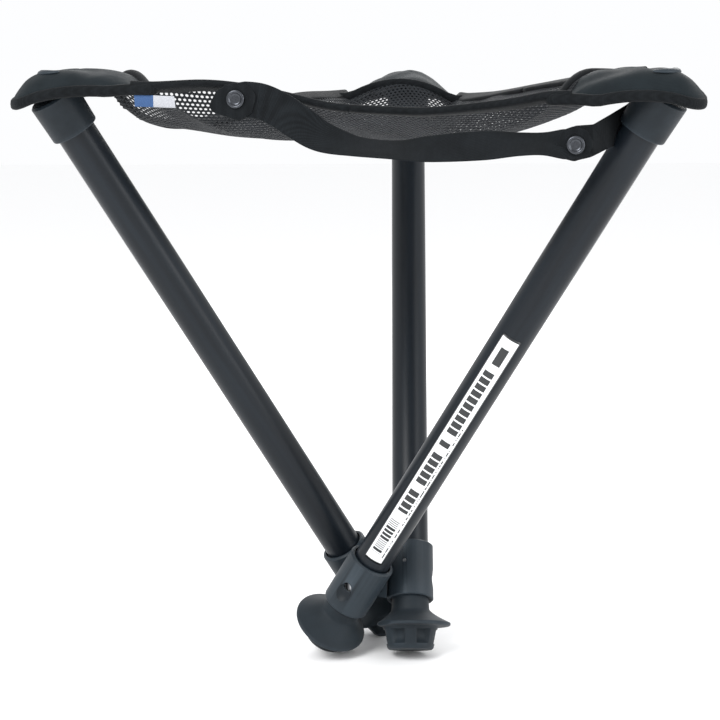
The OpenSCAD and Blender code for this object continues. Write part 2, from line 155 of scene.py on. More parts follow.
class Paint:
    """A Principled material with a few short ways to add nodes."""

    def __init__(self, name, roughness=0.5, metallic=0.0, specular=0.5, sheen=0.0, coat=0.0):
        self.mat = bpy.data.materials.new(name)
        self.mat.use_nodes = True
        self.tree = self.mat.node_tree
        self.shader = self.tree.nodes["Principled BSDF"]
        self.shader.inputs["Roughness"].default_value = roughness
        self.shader.inputs["Metallic"].default_value = metallic
        self.shader.inputs["Specular IOR Level"].default_value = specular
        self.shader.inputs["Sheen Weight"].default_value = sheen
        self.shader.inputs["Coat Weight"].default_value = coat
        self.place = self.tree.nodes.new("ShaderNodeTexCoord").outputs["Object"]

    def link(self, a, b):
        self.tree.links.new(a, b)

    def noise(self, scale, detail=3.0, place=None):
        node = self.tree.nodes.new("ShaderNodeTexNoise")
        node.inputs["Scale"].default_value = scale
        node.inputs["Detail"].default_value = detail
        self.link(place or self.place, node.inputs["Vector"])
        return node.outputs["Fac"]

    def stretched(self, axis, stretch):
        """The place squeezed along axis, so that noise runs in streaks along it."""
        dot = self.tree.nodes.new("ShaderNodeVectorMath")
        dot.operation = "DOT_PRODUCT"
        dot.inputs[1].default_value = axis
        self.link(self.place, dot.inputs[0])
        scale = self.tree.nodes.new("ShaderNodeVectorMath")
        scale.operation = "SCALE"
        scale.inputs[0].default_value = axis
        self.link(self.math("MULTIPLY", dot.outputs["Value"], 1 / stretch - 1), scale.inputs["Scale"])
        add = self.tree.nodes.new("ShaderNodeVectorMath")
        self.link(self.place, add.inputs[0])
        self.link(scale.outputs[0], add.inputs[1])
        return add.outputs[0]

    def wave(self, scale, direction):
        node = self.tree.nodes.new("ShaderNodeTexWave")
        node.bands_direction = direction
        node.inputs["Scale"].default_value = scale
        self.link(self.place, node.inputs["Vector"])
        return node.outputs["Fac"]

    def math(self, operation, a, b=0.0):
        node = self.tree.nodes.new("ShaderNodeMath")
        node.operation = operation
        for value, socket in ((a, node.inputs[0]), (b, node.inputs[1])):
            if isinstance(value, (int, float)):
                socket.default_value = value
            else:
                self.link(value, socket)
        return node.outputs[0]

    def ramp(self, fac, stops):
        node = self.tree.nodes.new("ShaderNodeValToRGB")
        ramp = node.color_ramp
        ramp.elements[0].position = stops[0][0]
        ramp.elements[0].color = (*stops[0][1], 1)
        ramp.elements[1].position = stops[-1][0]
        ramp.elements[1].color = (*stops[-1][1], 1)
        for at, color in stops[1:-1]:
            ramp.elements.new(at).color = (*color, 1)
        self.link(fac, node.inputs["Fac"])
        return node.outputs["Color"]

    def color(self, socket):
        self.link(socket, self.shader.inputs["Base Color"])

    def rough(self, fac, low, high):
        node = self.tree.nodes.new("ShaderNodeMapRange")
        node.inputs["To Min"].default_value = low
        node.inputs["To Max"].default_value = high
        self.link(fac, node.inputs["Value"])
        self.link(node.outputs["Result"], self.shader.inputs["Roughness"])

    def bump(self, fac, height, strength):
        node = self.tree.nodes.new("ShaderNodeBump")
        node.inputs["Distance"].default_value = height
        node.inputs["Strength"].default_value = strength
        self.link(fac, node.inputs["Height"])
        self.link(node.outputs["Normal"], self.shader.inputs["Normal"])

    def edge(self, base, edge_highlight, low, high):
        """Base colour that turns to a lighter painted highlight colour at sharp edges."""
        geometry = self.tree.nodes.new("ShaderNodeNewGeometry")
        # Pointiness picks out the convex edges, which get the painted highlight.
        mask = self.tree.nodes.new("ShaderNodeMapRange")
        mask.inputs["From Min"].default_value = low
        mask.inputs["From Max"].default_value = high
        self.link(geometry.outputs["Pointiness"], mask.inputs["Value"])
        return self.mix(mask.outputs["Result"], base, edge_highlight)

    def mix(self, fac, a, b):
        """Colour a where fac is 0 and b where it is 1; each is a socket or three numbers."""
        node = self.tree.nodes.new("ShaderNodeMix")
        node.data_type = "RGBA"
        self.link(fac, node.inputs[0])
        for value, socket in ((a, node.inputs[6]), (b, node.inputs[7])):
            if isinstance(value, tuple):
                socket.default_value = (*value, 1)
            else:
                self.link(value, socket)
        return node.outputs[2]

    def window(self, value, low, high):
        """1 where value lies between low and high."""
        above = self.math("GREATER_THAN", value, low)
        return self.math("MULTIPLY", above, self.math("LESS_THAN", value, high))


def tube_paint(leg):
    """Satin blue-black powder coat, with faint streaks along the tube and a fine orange peel."""
    p = Paint("tube_paint_" + leg, roughness=0.36, specular=0.26)
    along = p.stretched(UP_LEG[leg], 18)
    streak = p.noise(160, 2, along)
    p.color(p.ramp(streak, [(0.3, (0.004, 0.006, 0.009)), (0.7, (0.008, 0.012, 0.017))]))
    p.rough(p.noise(45, 4), 0.30, 0.42)
    p.bump(p.noise(1800, 2), 0.00003, 0.5)
    return p.mat


def moulded_plastic():
    """Dark moulded plastic with a fine spark-eroded grain, and a bluish painted highlight on its sharp edges.
    """
    p = Paint("moulded_plastic", roughness=0.5, specular=0.26)
    cloud = p.noise(60, 5)
    base = p.ramp(cloud, [(0.35, (0.006, 0.010, 0.014)), (0.7, (0.012, 0.018, 0.024))])
    # Painted highlight: the sharp edges get a lighter bluish colour, as where they catch the light.
    p.color(p.edge(base, (0.035, 0.048, 0.06), low=0.53, high=0.62))
    p.rough(p.noise(90, 3), 0.42, 0.58)
    p.bump(p.noise(2600, 3), 0.00006, 0.7)
    return p.mat


def foot_rubber():
    """Matt moulded rubber with soft blotches, and a paler bluish painted highlight on its edges."""
    p = Paint("foot_rubber", roughness=0.6, specular=0.24, sheen=0.04)
    cloud = p.noise(38, 6)
    base = p.ramp(cloud, [(0.3, (0.007, 0.011, 0.015)), (0.75, (0.015, 0.023, 0.030))])
    # Painted highlight: the edges get a paler bluish colour, as where they catch the light.
    p.color(p.edge(base, (0.04, 0.055, 0.07), low=0.52, high=0.62))
    p.rough(p.noise(120, 4), 0.5, 0.7)
    p.bump(p.noise(1100, 4), 0.00008, 0.6)
    return p.mat


def metal(name, color, low, high, grain_axis=None):
    """Bare metal with a fine grain, drawn out along grain_axis if there is one."""
    p = Paint(name, metallic=1.0)
    place = p.stretched(grain_axis, 30) if grain_axis else None
    grain = p.noise(900, 3, place)
    p.color(p.ramp(grain, [(0.3, tuple(c * 0.8 for c in color)), (0.7, color)]))
    p.rough(grain, low, high)
    p.bump(grain, 0.00002, 0.4)
    return p.mat


def woven(name, dark, light, pitch, sheen=0.15, roughness=0.85, height=0.00012):
    """Plain weave: two crossed sets of threads with uneven dye."""
    p = Paint(name, roughness=roughness, specular=0.12, sheen=sheen)
    p.shader.inputs["Sheen Roughness"].default_value = 0.5
    scale = math.pi / pitch / 10
    weave = p.math("MULTIPLY", p.wave(scale, "X"), p.wave(scale, "Y"))
    mixed = p.math("ADD", p.math("MULTIPLY", weave, 0.5), p.math("MULTIPLY", p.noise(70, 5), 0.6))
    p.color(p.ramp(mixed, [(0.2, dark), (0.8, light)]))
    p.rough(p.noise(300, 3), roughness - 0.1, min(roughness + 0.08, 1))
    p.bump(p.math("ADD", weave, p.math("MULTIPLY", p.noise(900, 3), 0.4)), height, 0.8)
    return p.mat


def bush_plastic():
    """Pale engineering plastic of the guide bushes."""
    p = Paint("bush_plastic", roughness=0.4)
    p.color(p.ramp(p.noise(200, 4), [(0.3, (0.62, 0.6, 0.55)), (0.7, (0.74, 0.72, 0.67))]))
    p.bump(p.noise(1500, 2), 0.00003, 0.4)
    return p.mat


MATS = {
    "plastic": moulded_plastic(),
    "rubber": foot_rubber(),
    "steel": metal("plated_steel", (0.62, 0.63, 0.65), 0.22, 0.4),
    "gunmetal": metal("gunmetal", (0.075, 0.08, 0.09), 0.2, 0.38),
    "bush": bush_plastic(),
    "mesh": woven("mesh_yarn", (0.005, 0.006, 0.008), (0.024, 0.028, 0.033), 0.0005, 0.06, 0.7, 0.00008),
    "pad": woven("pad_nylon", (0.004, 0.007, 0.009), (0.012, 0.018, 0.022), 0.0006, 0.06, 0.75, 0.00006),
    "hem": woven("hem_tape", (0.003, 0.004, 0.005), (0.009, 0.011, 0.013), 0.0008, 0.04, 0.8, 0.0001),
    "webbing": woven("webbing_yarn", (0.003, 0.004, 0.005), (0.012, 0.015, 0.018), 0.0007, 0.05, 0.8, 0.0001),
}


def dress_frame():
    """Gives every CAD node that shows its material."""
    for name, node in frame["nodes"].items():
        leg = name.rsplit("_", 1)[-1]
        if name.startswith("outer_tube"):
            mat = tube_paint(leg)
        elif name.startswith("inner_tube"):
            mat = metal("drawn_alu_" + leg, (0.6, 0.61, 0.63), 0.35, 0.5, UP_LEG[leg])
        elif name.startswith(("top_cap", "hub")) or name.startswith("collar_") and "rivet" not in name:
            mat = MATS["plastic"]
        elif name.startswith("foot"):
            mat = MATS["rubber"]
        elif name.startswith("guide_bush"):
            mat = MATS["bush"]
        else:
            mat = MATS["steel"]
        node.data.materials.clear()
        node.data.materials.append(mat)


# ---- mesh helpers ----

def add_piece(name, verts, faces, mat):
    """A smooth-shaded piece with its normals facing out."""
    mesh = bpy.data.meshes.new(name)
    mesh.from_pydata([tuple(v) for v in verts], [], faces)
    mesh.materials.append(mat)
    mesh.validate()
    bm = bmesh.new()
    bm.from_mesh(mesh)
    bmesh.ops.recalc_face_normals(bm, faces=bm.faces)
    bm.to_mesh(mesh)
    bm.free()
    mesh.polygons.foreach_set("use_smooth", [True] * len(mesh.polygons))
    piece = bpy.data.objects.new(name, mesh)
    bpy.context.scene.collection.objects.link(piece)
    return piece


def add_modifier(piece, kind, **settings):
    """Adds a modifier and applies it at once."""
    mod = piece.modifiers.new(kind.lower(), kind)
    for key, value in settings.items():
        setattr(mod, key, value)
    with bpy.context.temp_override(object=piece, active_object=piece, selected_objects=[piece]):
        bpy.ops.object.modifier_apply(modifier=mod.name)


def loft(name, rings, mat, closed=False):
    """Skin through rings of equal length. closed joins the last ring to the first."""
    n = len(rings[0])
    verts = [v for ring in rings for v in ring]
    count = len(rings)
    faces = []
    for i in range(count if closed else count - 1):
        a, b = i * n, (i + 1) % count * n
        faces += [(a + j, a + (j + 1) % n, b + (j + 1) % n, b + j) for j in range(n)]
    if not closed:
        faces += [tuple(range(n)), tuple((count - 1) * n + j for j in range(n))]
    return add_piece(name, verts, faces, mat)


def turned(x, y, angle):
    """A point in plan, turned about the hub's axis."""
    return x * math.cos(angle) - y * math.sin(angle), x * math.sin(angle) + y * math.cos(angle)


def on_side(side, x, d, z):
    """Row-frame point at x along a side, d out from the hub's axis and z over the hinge."""
    px, py = turned(x, -d, SIDE_TURN[side])
    return HUB + Vector((px, py, z))


def on_corner(leg, x, y, z):
    """Row-frame point x out towards a corner, y to the side of it and z over the hinge."""
    px, py = turned(x, y, BEARING[leg])
    return HUB + Vector((px, py, z))


def on_leg(leg, radius, angle, along):
    """Point round a leg: angle 0 faces outwards from the hub, 90 degrees faces the hub's axis."""
    y = INWARD[leg]
    x = y.cross(UP_LEG[leg])
    return PIN[leg] + UP_LEG[leg] * along + x * (radius * math.cos(angle)) + y * (radius * math.sin(angle))


def follow_corner(piece):
    """Bakes a soft piece's placing into its mesh, without tying it to any body."""
    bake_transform(piece)


# ---- the seat's surface ----

SIN60 = math.sin(math.radians(60))


def hem_half(d):
    """Half the length of a hem between two pads, at d from the hub's axis."""
    return (PAD_IN - d * 0.5) / SIN60


def curve(points, t):
    """Smooth curve through given points (t, value)."""
    last = len(points) - 1
    i = next((k for k in range(1, last) if points[k][0] > t), last)
    (t0, a), (t1, b) = points[i - 1], points[i]
    before, after = points[max(i - 2, 0)], points[min(i + 1, last)]
    width = t1 - t0
    slope_a = (b - before[1]) / (t1 - before[0]) * width
    slope_b = (after[1] - a) / (after[0] - t0) * width
    u = min(1, max(0, (t - t0) / width))
    return (a * (2 * u ** 3 - 3 * u ** 2 + 1) + slope_a * (u ** 3 - 2 * u ** 2 + u)
            + b * (3 * u ** 2 - 2 * u ** 3) + slope_b * (u ** 3 - u ** 2))


# Heights of the hems over the hinge, each from its clockwise end at -1 to the other at 1
HEM_LINE = {
    "front": [(-1, 0.3228), (-0.75, 0.3245), (-0.55, 0.3228), (-0.35, 0.3185), (-0.1, 0.312),
              (0.15, 0.3098), (0.4, 0.309), (0.75, 0.3125), (1, 0.317)],
    "left": [(-1, 0.313), (-0.6, 0.313), (-0.2, 0.307), (0.1, 0.301), (0.45, 0.298), (0.7, 0.300),
             (0.88, 0.309), (1, 0.321)],
    "right": [(-1, 0.330), (-0.6, 0.3265), (0, 0.320), (0.5, 0.3145), (1, 0.311)],
}
MESH_UNDER = 0.002       # the mesh's edge lies this far under the hem's middle
MESH_IN_HEM = 0.3        # how steeply the part sewn into the hem climbs
STEEP_SIDE, STEEP_MORE = 1.8, 2.2       # power of the sag towards a hem, and what a pad adds
CREASE = 0.0008          # height of the mesh's creases
CREASE_WAVES = (95, 2.2, 40)            # radians per metre across, how far they wander, and how fast
REAR_DIP = 0.008         # how far the rear pad's inner edge sags
PAD_END_Y = (SIDE_D - HEM_W - PAD_IN / 2) / SIN60       # half the length of a pad's inner edge


def hem_z(side, t):
    """Height of a hem over the hinge, at t from -1 to 1 along it."""
    return curve(HEM_LINE[side], t)


def pad_drop(leg, y):
    """How far a pad's inner edge hangs down towards its ends, to meet the hems."""
    side, end = next((side, ends.index(leg)) for side, ends in SIDE_ENDS.items()
                     if leg in ends and (ends.index(leg) == 0) == (y > 0))
    low = HEM_Z - HEM_LINE[side][-1 if end else 0][1]
    return low * min(1, abs(y) / PAD_END_Y) ** 2 + rear_dip(leg, y)


def rear_dip(leg, y):
    """The rear pad's inner edge sags in its middle, so its top shows over the mesh from the front."""
    return REAR_DIP * (1 - min(1, abs(y) / PAD_END_Y) ** 2) if leg == "rear" else 0


def mesh_edge(direction):
    """Radius and height of the mesh's edge in a direction, counted from the bearing of the right side."""
    number = round(direction / math.radians(120))
    a = direction - number * math.radians(120)
    side = ("right", "left", "front")[number % 3]
    d = SIDE_D - HEM_W
    t = d * math.tan(a) / hem_half(d)
    if abs(t) < 1:
        return (d - BOW * (1 - t * t)) / math.cos(a), hem_z(side, t) - MESH_UNDER
    radius = PAD_IN / math.cos(math.radians(60) - abs(a))
    y = radius * math.sin(math.radians(60) - abs(a)) * (-1 if a > 0 else 1)
    return radius, HEM_Z - MESH_UNDER - pad_drop(SIDE_ENDS[side][1 if a > 0 else 0], y)


def seat_z(x, y):
    """Height of the sagging, slightly creased mesh over the hinge, at a place counted from the hub's axis."""
    radius = math.hypot(x, y)
    direction = (math.atan2(y, x) - TURN - math.radians(30)) % math.tau
    edge_r, edge_z = mesh_edge(direction)
    share = radius / edge_r
    steep = STEEP_SIDE + STEEP_MORE * math.sin(1.5 * direction) ** 2
    across, wander, along = CREASE_WAVES
    crease = CREASE * math.sin(x * across + wander * math.sin(y * along)) * min(share, 1)
    over = max(share - 1, 0) * edge_r * MESH_IN_HEM
    return BELLY_Z + (edge_z - BELLY_Z) * min(share, 1) ** steep + crease + over


def nearest_corner(x, y):
    """The leg whose corner of the seat a place belongs to."""
    angle = math.atan2(y, x)
    return max(LEGS, key=lambda leg: math.cos(angle - BEARING[leg]))


def inside_seat(x, y, margin):
    """True where the mesh is needed: inside the hems, and a little way under the pads."""
    under_pad = 0.008
    radius = math.hypot(x, y)
    angle = math.atan2(y, x)
    if radius * math.cos(angle - BEARING[nearest_corner(x, y)]) > PAD_IN + under_pad:
        return False
    for side in SIDE_TURN:
        out = angle - (SIDE_TURN[side] - math.radians(90))
        d = radius * math.cos(out)
        t = radius * math.sin(out) / hem_half(SIDE_D - HEM_W)
        if d > SIDE_D - margin - BOW * max(0.0, 1 - t * t):
            return False
    return True


# ---- seat mesh ----

def make_seat_mesh():
    """Knitted mesh with real holes: staggered cells, each a ring of eight quads round its hole."""
    step_x, step_y = 0.0030, 0.0026
    hole = (0.34, 0.35)                         # half of the hole, as a share of the cell
    yarn = 0.0004
    margin = HEM_W * 0.62                       # the mesh ends this far inside the hem's outer edge
    knit_turn = TURN + math.radians(8)          # the rows of holes run a little askew
    half_x, half_y = step_x / 2, step_y / 2
    reach = int(0.2 / step_y)
    around = [(0, 0), (1, 0), (2, 0), (2, 1), (2, 2), (1, 2), (0, 2), (0, 1)]
    parts = {leg: ({}, [], []) for leg in LEGS}

    def vertex(part, key, x, y):
        index, verts, _ = part
        if key not in index:
            index[key] = len(verts)
            px, py = turned(x, y, knit_turn)
            verts.append(HUB + Vector((px, py, seat_z(px, py))))
        return index[key]

    for row in range(-reach, reach):
        for col in range(-reach, reach):
            left = 2 * col + row % 2
            low = 2 * row
            cx, cy = (left + 1) * half_x, (low + 1) * half_y
            wx, wy = turned(cx, cy, knit_turn)
            if not inside_seat(wx, wy, margin):
                continue
            part = parts[nearest_corner(wx, wy)]
            ring, rim = [], []
            for dx, dy in around:
                col_at, row_at = left + dx, low + dy
                ring.append(vertex(part, (col_at, row_at), col_at * half_x, row_at * half_y))
                angle = math.atan2(dy - 1, dx - 1)
                hx = cx + step_x * hole[0] * math.cos(angle)
                hy = cy + step_y * hole[1] * math.sin(angle)
                rim.append(vertex(part, (left, low, dx, dy), hx, hy))
            part[2].extend((ring[i], ring[(i + 1) % 8], rim[(i + 1) % 8], rim[i]) for i in range(8))
    for leg, (_, verts, faces) in parts.items():
        piece = add_piece("seat_mesh_" + leg, verts, faces, MATS["mesh"])
        add_modifier(piece, "SOLIDIFY", thickness=yarn, offset=0)
        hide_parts("seat_mesh")
        follow_corner(piece)


# ---- hems ----

TAPE_T = 0.0038
FOLDED_T = 1.35          # how much thicker it is where it is folded over
LAP_OVER = 1.12          # the hem runs on under the pad, in half lengths
TILT_END, TILT_LESS = 24, 14            # degrees at its ends, and how much less in its middle
# It gets narrower where it goes under the pad: from and over how many half lengths, and by how much
NARROW_FROM, NARROW_OVER, NARROW_BY = 0.86, 0.24, 0.45


def hem_ring(side, t):
    """Closed outline of the folded tape at t along a side: inner edge low, outer edge high."""
    tilt = math.radians(TILT_END - TILT_LESS * (1 - t * t))
    width = HEM_W * (1 - NARROW_BY * min(1, max(0, (abs(t) - NARROW_FROM) / NARROW_OVER)))
    inset = 0.0005
    d = SIDE_D - HEM_W / 2 - inset
    x = t * hem_half(d)
    mid_d = d - BOW * (1 - t * t)
    mid_z = hem_z(side, t)
    ring = []
    points = 14
    for k in range(points):
        a = math.tau * k / points
        across = (HEM_W - width) / 2 + width / 2 * math.copysign(abs(math.cos(a)) ** 0.5, math.cos(a))
        thick = TAPE_T / 2 * math.copysign(abs(math.sin(a)) ** 0.7, math.sin(a))
        if across > HEM_W * 0.2:
            thick *= FOLDED_T
        dd = mid_d + across * math.cos(tilt) - thick * math.sin(tilt)
        zz = mid_z + across * math.sin(tilt) + thick * math.cos(tilt)
        ring.append(on_side(side, x, dd, zz))
    return ring


def make_hems():
    """Each side's hem in two halves, one at each of its corners."""
    parts = 30
    for side, ends in SIDE_ENDS.items():
        for sign, leg in zip((-1, 1), ends):
            rings = [hem_ring(side, sign * i / parts * LAP_OVER) for i in range(parts + 1)]
            piece = loft("hem_" + side + "_" + leg, rings, MATS["hem"])
            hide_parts("hem_" + side)
            follow_corner(piece)


# ---- corner pads ----

PAD_MIDDLE = 0.192
# Height of a pad's sewn edge and how far its top stands over it, outwards from the inner edge
PAD_EDGE = [(0.158, 0.3305), (0.180, 0.3303), (0.2034, 0.3258), (0.2231, 0.3196), (0.234, 0.3138)]
PAD_CROWN = [(0.158, 0.002), (0.180, 0.0037), (0.2034, 0.0081), (0.2133, 0.0100), (0.2231, 0.0115),
             (0.234, 0.0144)]
PAD_BELLY = 0.0036       # how far its underside bulges
PAD_CORNER = 0.0045      # rounding of its two inner corners
# Its rings, as shares of the way from the middle to the edge
PAD_SHARES = [0.12, 0.24, 0.36, 0.48, 0.6, 0.7, 0.79, 0.86, 0.91, 0.95, 0.985]
SEAM_AT, SEAM_WIDE, SEAM_DEEP = 0.88, 0.025, 0.0011         # place and width as shares too
SOFT = 0.0007            # height of its soft folds
SOFT_WAVES = (210, 3, 120)              # radians per metre outwards, how far they wander, and how fast
REAR_LOW, REAR_OVER = 0.003, 0.036      # how far the rear pad sinks, and within what length of its inner edge


def pad_height(leg, x, y):
    """Height of the pad's edge line over the hinge: low at its outer tip and at its two inner ends."""
    beyond = min(1, max(0, (x - PAD_IN) / REAR_OVER))
    lift = beyond * rear_dip(leg, y) - (REAR_LOW * beyond if leg == "rear" else 0)
    return curve(PAD_EDGE, x) - pad_drop(leg, y) + lift


def round_corner(before, corner, after, radius, count):
    """Arc that rounds a corner of an outline."""
    a, b = (before - corner).normalized(), (after - corner).normalized()
    half = a.angle(b) / 2
    centre = corner + (a + b).normalized() * (radius / math.sin(half))
    tangent = radius / math.tan(half)
    start, stop = corner + a * tangent - centre, corner + b * tangent - centre
    turn = start.angle_signed(stop)
    out = []
    for i in range(count + 1):
        angle = -turn * i / count
        out.append(centre + Vector(turned(start.x, start.y, angle)))
    return out


def pad_outline():
    """Plan outline of a pad: nearly straight inner edge, rounded ends, sides that bow a little, round tip."""
    half = (SIDE_D - PAD_IN * 0.5) / SIN60
    low, high, tip = Vector((PAD_IN, -half)), Vector((PAD_IN, half)), Vector((TIP_R + TIP_ROUND, 0))
    arcs = [round_corner(tip, low, high, PAD_CORNER, 5), round_corner(low, high, tip, PAD_CORNER, 5),
            round_corner(high, tip, low, TIP_ROUND, 14)]
    points = []
    for arc_points, following in zip(arcs, arcs[1:] + arcs[:1]):
        points += arc_points
        a, b = arc_points[-1], following[0]
        points += [a.lerp(b, k / 16) for k in range(1, 16)]
    return points


def make_pad(leg):
    """Stuffed pocket: crowned top and thin sewn edge; its bound rim and the lip of its crescent slot over the
    cap come from make_binding and make_crescent.
    """
    outline = pad_outline()
    n = len(outline)
    middle = Vector((PAD_MIDDLE, 0))
    outwards, wander, sideways = SOFT_WAVES
    verts, faces = [], []

    def level(p, share, sign):
        crown = (1 - share ** 5) * curve(PAD_CROWN, p.x)
        z = pad_height(leg, p.x, p.y)
        if sign > 0:
            seam = SEAM_DEEP * math.exp(-((share - SEAM_AT) / SEAM_WIDE) ** 2)
            soft = SOFT * math.sin(p.x * outwards + wander * math.sin(p.y * sideways)) * (1 - share ** 4)
            return z + crown - seam + soft
        return z - (1 - share ** 5) * PAD_BELLY

    for sign in (1, -1):
        start = len(verts)
        verts.append(on_corner(leg, middle.x, 0, level(middle, 0, sign)))
        for share in PAD_SHARES:
            for q in outline:
                p = middle.lerp(q, share)
                verts.append(on_corner(leg, p.x, p.y, level(p, share, sign)))
        for j in range(n):
            faces.append((start, start + 1 + j, start + 1 + (j + 1) % n))
        for k in range(len(PAD_SHARES) - 1):
            a, b = start + 1 + k * n, start + 1 + (k + 1) * n
            faces += [(a + j, a + (j + 1) % n, b + (j + 1) % n, b + j) for j in range(n)]
    last = 1 + (len(PAD_SHARES) - 1) * n
    other = len(verts) // 2 + last
    faces += [(last + j, last + (j + 1) % n, other + (j + 1) % n, other + j) for j in range(n)]
    piece = add_piece("corner_pad_shell_" + leg, verts, faces, MATS["pad"])
    add_modifier(piece, "SUBSURF", levels=1)
    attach(piece, "leg_" + leg)
    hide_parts("corner_pad_" + leg)


def make_binding(leg):
    """Tape bound round the pad's edge."""
    half_wide, half_tall, inset = 0.0026, 0.0034, 0.0022
    outline = pad_outline()
    n = len(outline)
    rings = []
    for i, p in enumerate(outline):
        along = (outline[(i + 1) % n] - outline[i - 1]).normalized()
        out = Vector((along.y, -along.x))
        if out.dot(p - Vector((PAD_MIDDLE, 0))) < 0:
            out = -out
        ring = []
        for k in range(12):
            a = math.tau * k / 12
            across = half_wide * math.copysign(abs(math.cos(a)) ** 0.8, math.cos(a))
            tall = half_tall * math.copysign(abs(math.sin(a)) ** 0.7, math.sin(a))
            q = p + out * (across - inset)
            ring.append(on_corner(leg, q.x, q.y, pad_height(leg, p.x, p.y) + tall))
        rings.append(ring)
    piece = loft("pad_binding_" + leg, rings, MATS["hem"], closed=True)
    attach(piece, "leg_" + leg)


def make_crescent(leg):
    """Moulded lip of the slot in the pad's top, over the outer rim of the cap."""
    lip_r, half_arc, half_wide, least, inwards = 0.0135, math.radians(66), 0.0023, 0.0002, 0.006
    oval, flat = 0.95, 0.6                      # its arc is a little oval, and its section is flat
    centre_x = LEG_UP * math.hypot(UP_LEG[leg].x, UP_LEG[leg].y) - inwards
    parts = 28
    rings = []
    for i in range(parts + 1):
        f = i / parts * 2 - 1
        a = half_arc * f
        wide = half_wide * (1 - f * f) ** 0.5 + least
        ring = []
        for k in range(8):
            b = math.tau * k / 8
            r = lip_r + wide * math.cos(b)
            x, y = centre_x + r * math.cos(a), r * math.sin(a) * oval
            share = (math.hypot(x - PAD_MIDDLE, y) / (TIP_R - PAD_MIDDLE)) ** 5
            top = pad_height(leg, x, y) + curve(PAD_CROWN, x) * (1 - share)
            ring.append(on_corner(leg, x, y, top + wide * flat * math.sin(b) + least))
        rings.append(ring)
    piece = loft("pad_slot_lip_" + leg, rings, MATS["plastic"])
    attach(piece, "leg_" + leg)


# ---- carry strap, tabs and snaps ----

# Middle line of the strap, in the front side's x and z over the hinge
STRAP_LINE = [
    (-0.072, 0.3172), (-0.065, 0.317), (-0.051, 0.3158), (-0.039, 0.3105), (-0.029, 0.304),
    (-0.015, 0.2955), (0.005, 0.290), (0.027, 0.288), (0.046, 0.2885), (0.078, 0.2905),
    (0.105, 0.2915), (0.122, 0.2915), (0.133, 0.291)
]
# How far the strap leans over there, in degrees
STRAP_LEAN = [(-0.072, 0), (-0.045, 2), (-0.03, 12), (-0.015, 34), (0.005, 58), (0.029, 60), (0.046, 46),
              (0.078, 38), (0.1, 52), (0.116, 50), (0.127, 18), (0.133, 8)]


def smooth_line(points, per_span):
    """Catmull-Rom curve through given points."""
    ends = [points[0], *points, points[-1]]
    out = []
    for i in range(1, len(ends) - 2):
        a, b, c, d = (Vector(ends[i + k]) for k in (-1, 0, 1, 2))
        for k in range(per_span):
            t = k / per_span
            out.append(0.5 * (2 * b + (c - a) * t + (2 * a - 5 * b + 4 * c - d) * t * t
                              + (3 * b - a - 3 * c + d) * t ** 3))
    out.append(Vector(points[-1]))
    return out


def even_steps(line, step):
    """The same line with points an even step apart."""
    out, carry = [line[0]], 0.0
    for a, b in zip(line, line[1:]):
        length = (b - a).length
        at = step - carry
        while at <= length:
            out.append(a.lerp(b, at / length))
            at += step
        carry = length - (at - step)
    return out


# Half of the strap's cross-section, as shares of its width and half thickness
STRAP_SECTION = [(-0.5, 0.35), (-0.485, 0.85), (-0.44, 1), (-0.15, 1),
                 (0.15, 1), (0.44, 1), (0.485, 0.85), (0.5, 0.35)]
STRAP_SHOWN = STRAP_W * 0.94
HALF_RIB, RIB_HEIGHT, RIB_INSET = 0.0006, 0.00011, 0.00015
# Where the strap starts to taper towards each snap, and over what length
TAPER_RIGHT, TAPER_LEFT, TAPER_BY = (0.117, 0.016), (0.060, 0.012), 0.22


def make_strap():
    """Ribbed webbing with rounded edges, leaning over where it hangs low."""
    line = even_steps(smooth_line(STRAP_LINE, 40), HALF_RIB)
    section = STRAP_SECTION + [(u, -v) for u, v in reversed(STRAP_SECTION)]
    rings = []
    for i, p in enumerate(line):
        before, after = line[max(i - 1, 0)], line[min(i + 1, len(line) - 1)]
        along = (after - before).normalized()
        across = Vector((-along.y, along.x))
        lean = math.radians(curve(STRAP_LEAN, p.x))
        half = STRAP_T / 2 - RIB_INSET + (RIB_HEIGHT if i % 2 else -RIB_HEIGHT)
        taper = max(0, (p.x - TAPER_RIGHT[0]) / TAPER_RIGHT[1], (-p.x - TAPER_LEFT[0]) / TAPER_LEFT[1])
        width = STRAP_SHOWN * (1 - TAPER_BY * taper)
        ring = []
        for u, v in section:
            side = u * width
            q = p + across * (side * math.cos(lean))
            d = STRAP_D + STRAP_T / 2 + v * half - side * math.sin(lean)
            ring.append(on_side("front", q.x, d, q.y))
        rings.append(ring)
    piece = loft("carry_strap_webbing", rings, MATS["webbing"])
    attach(piece, "strap")
    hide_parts("carry_strap")


# Section of a soft-edged plate: inset in bevels, and share of the thickness
PLATE_EDGE = ((2.5, 0), (0.6, 0.1), (0, 0.35), (0, 0.65), (0.6, 0.9), (2.5, 1))


def no_bend(_):
    return 0.0


def flat_piece(name, outline, d, thick, mat, bevel=0.0006, bend=no_bend):
    """A soft-edged plate on the front side, from an outline in x and z round its middle.
    bend tells how far it lies further in at x."""
    middle = sum(outline, Vector((0, 0))) / len(outline)
    size = max((p - middle).length for p in outline)
    rings = []
    for inset, out in PLATE_EDGE:
        share = 1 - inset * bevel / size
        ring = [middle + (p - middle) * share for p in outline]
        rings.append([on_side("front", p.x, d + thick * out - bend(p.x), p.y) for p in ring])
    return loft(name, rings, mat)


def rounded(points, radius, count=5):
    """Outline through given corners, each rounded."""
    points = [Vector(p) for p in points]
    out = []
    for before, corner, after in zip(points[-1:] + points[:-1], points, points[1:] + points[:1]):
        room = min((before - corner).length, (after - corner).length) * 0.45
        half = (before - corner).angle(after - corner) / 2
        out += round_corner(before, corner, after, min(radius, room * math.tan(half)), count)
    return out


def with_steps(outline, step):
    """The same outline with long edges cut into steps."""
    out = []
    for a, b in zip(outline, outline[1:] + outline[:1]):
        count = max(1, math.ceil((b - a).length / step))
        out += [a.lerp(b, k / count) for k in range(count)]
    return out


